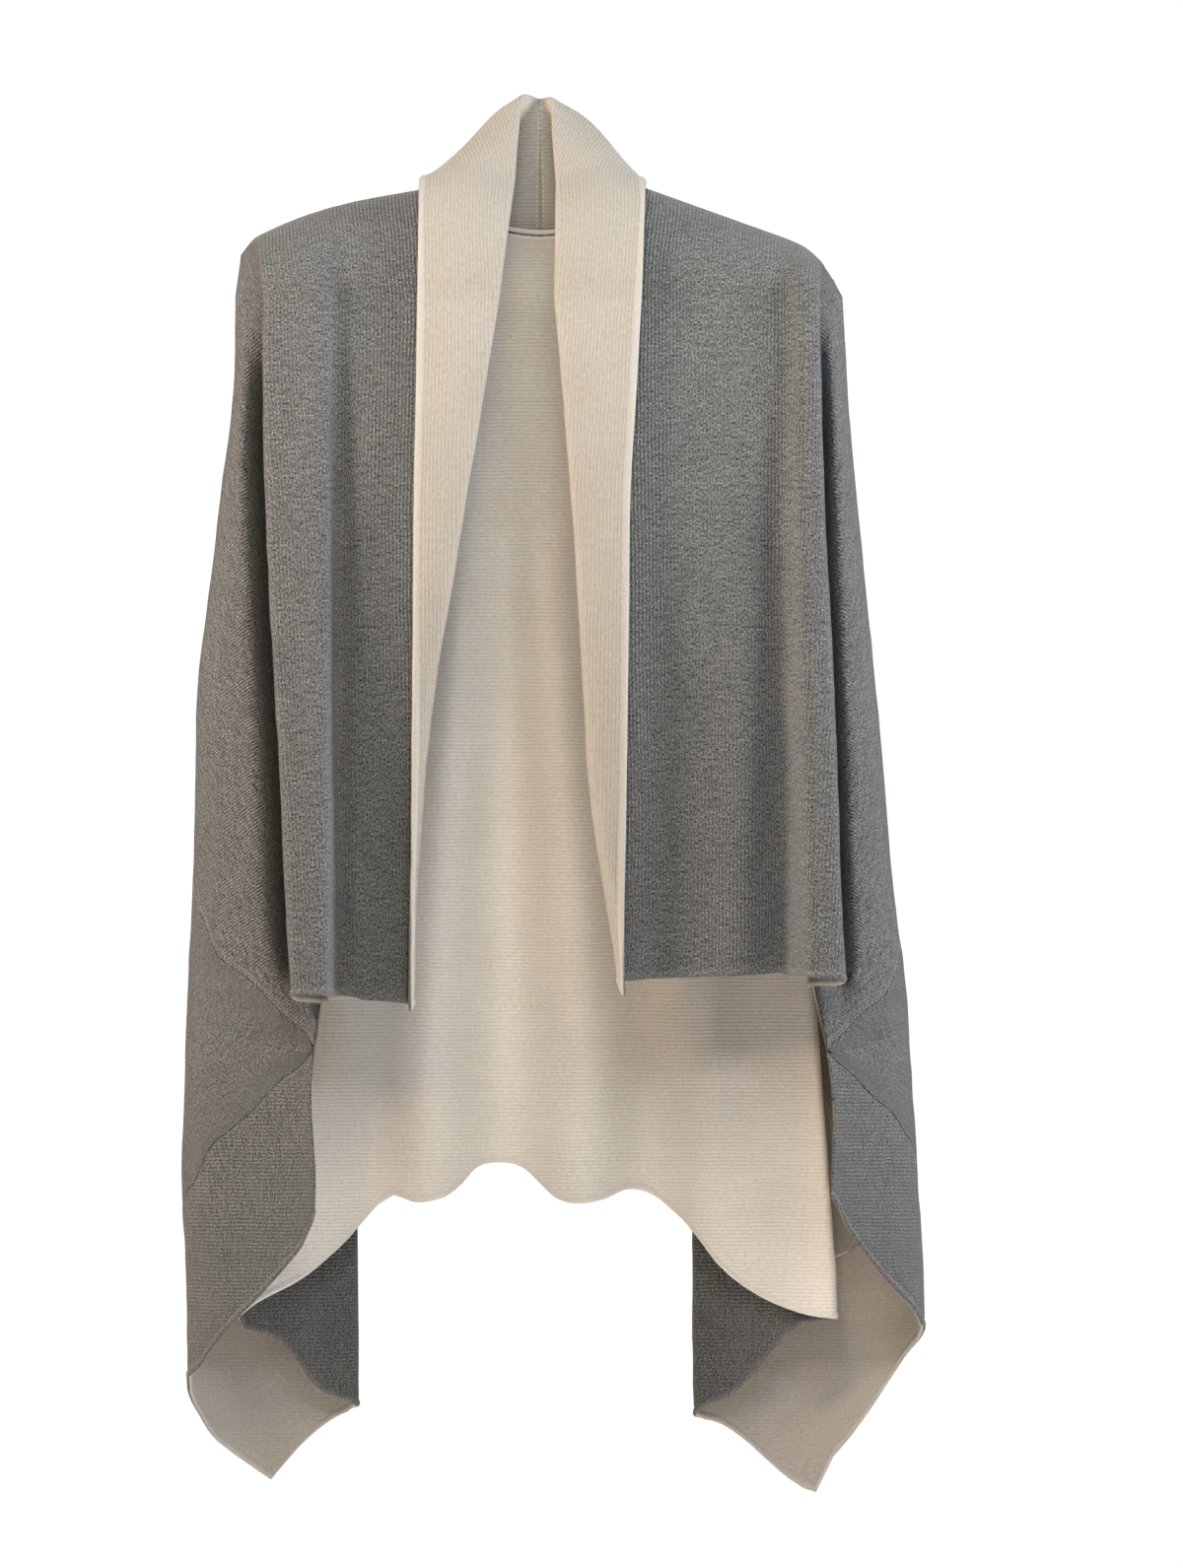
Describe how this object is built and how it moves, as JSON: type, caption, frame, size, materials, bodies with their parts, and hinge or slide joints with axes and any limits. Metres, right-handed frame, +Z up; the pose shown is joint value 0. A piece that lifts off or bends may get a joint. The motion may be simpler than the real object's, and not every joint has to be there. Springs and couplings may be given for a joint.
{
  "type": "cape",
  "caption": "Open knit cape with a wide shawl collar, short straight fronts and a long back that falls in pointed side cascades.",
  "frame": {"origin": "base of the neck, midway between the shoulders, where the wearer's shoulders hold the cape", "axes": "+Z up, the front faces -Y, the wearer's left is at +X"},
  "size_m": [0.5271, 0.2589, 0.9945],
  "materials": {
    "double_knit": "heather grey double-faced knit, cream on the inside face"
  },
  "bodies": {
    "root": {"back": "double_knit", "front_right": "double_knit", "front_left": "double_knit", "gusset_right": "double_knit", "gusset_left": "double_knit"}
  },
  "joints": []
}
